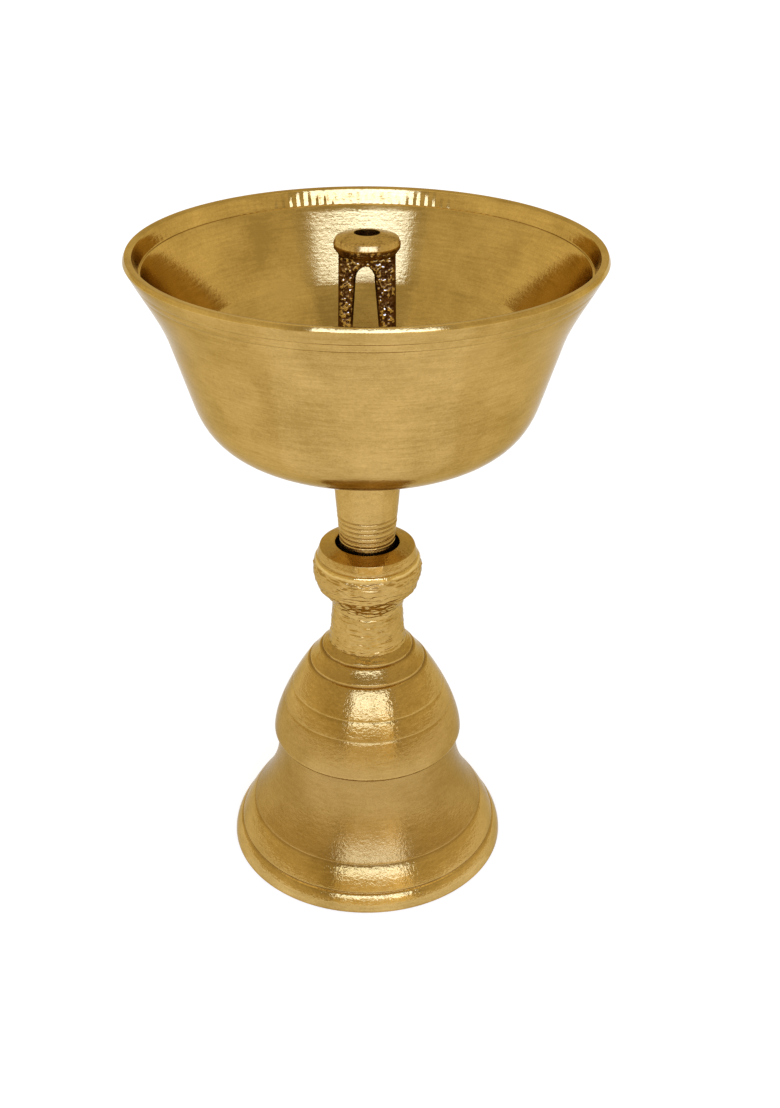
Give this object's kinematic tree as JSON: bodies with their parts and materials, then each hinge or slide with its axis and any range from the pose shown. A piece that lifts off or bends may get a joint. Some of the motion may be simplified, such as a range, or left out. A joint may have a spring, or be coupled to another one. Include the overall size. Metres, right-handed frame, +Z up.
{
  "type": "butter lamp",
  "caption": "Brass butter lamp: a flared bowl on a tapered stem that screws into a hollow bell-shaped base, with a slotted wick holder screwed down in the bowl.",
  "frame": {"origin": "on the lamp's axis, in the plane of the foot's flat underside", "axes": "+Z up along the lamp's axis, +X along the line through the wick holder's legs"},
  "size_m": [0.084, 0.084, 0.1299],
  "materials": {
    "base_brass": "turned satin",
    "stem_brass": "turned satin",
    "bowl_brass": "turned satin",
    "washer_leather": "oiled",
    "cast_brass": "rough cast, turned cap"
  },
  "bodies": {
    "base": {"base": "base_brass"},
    "stem": {"stem": "stem_brass"},
    "bowl": {"bowl": "bowl_brass"},
    "sealing_washer": {"sealing_washer": "washer_leather"},
    "wick_holder": {"wick_holder": "cast_brass"}
  },
  "joints": [
    {"name": "stem_rise", "type": "slide", "parent": "base", "child": "stem", "axis": [0, 0, 1], "range_m": [0, 0.012]},
    {"name": "bowl_turn", "type": "hinge", "parent": "stem", "child": "bowl", "pos_m": [0, 0, 0.0896], "axis": [0, 0, 1], "range_deg": [0, 3450]},
    {"name": "washer_rise", "type": "slide", "parent": "bowl", "child": "sealing_washer", "axis": [0, 0, 1], "range_m": [0, 0.0062]},
    {"name": "holder_turn", "type": "hinge", "parent": "sealing_washer", "child": "wick_holder", "pos_m": [0, 0, 0.0932], "axis": [0, 0, 1], "range_deg": [0, 2230]}
  ],
  "couplings": [
    {"joint": "stem_rise", "follows": "bowl_turn", "m_per_rad": 0.00019894},
    {"joint": "washer_rise", "follows": "holder_turn", "m_per_rad": 0.00015915}
  ]
}
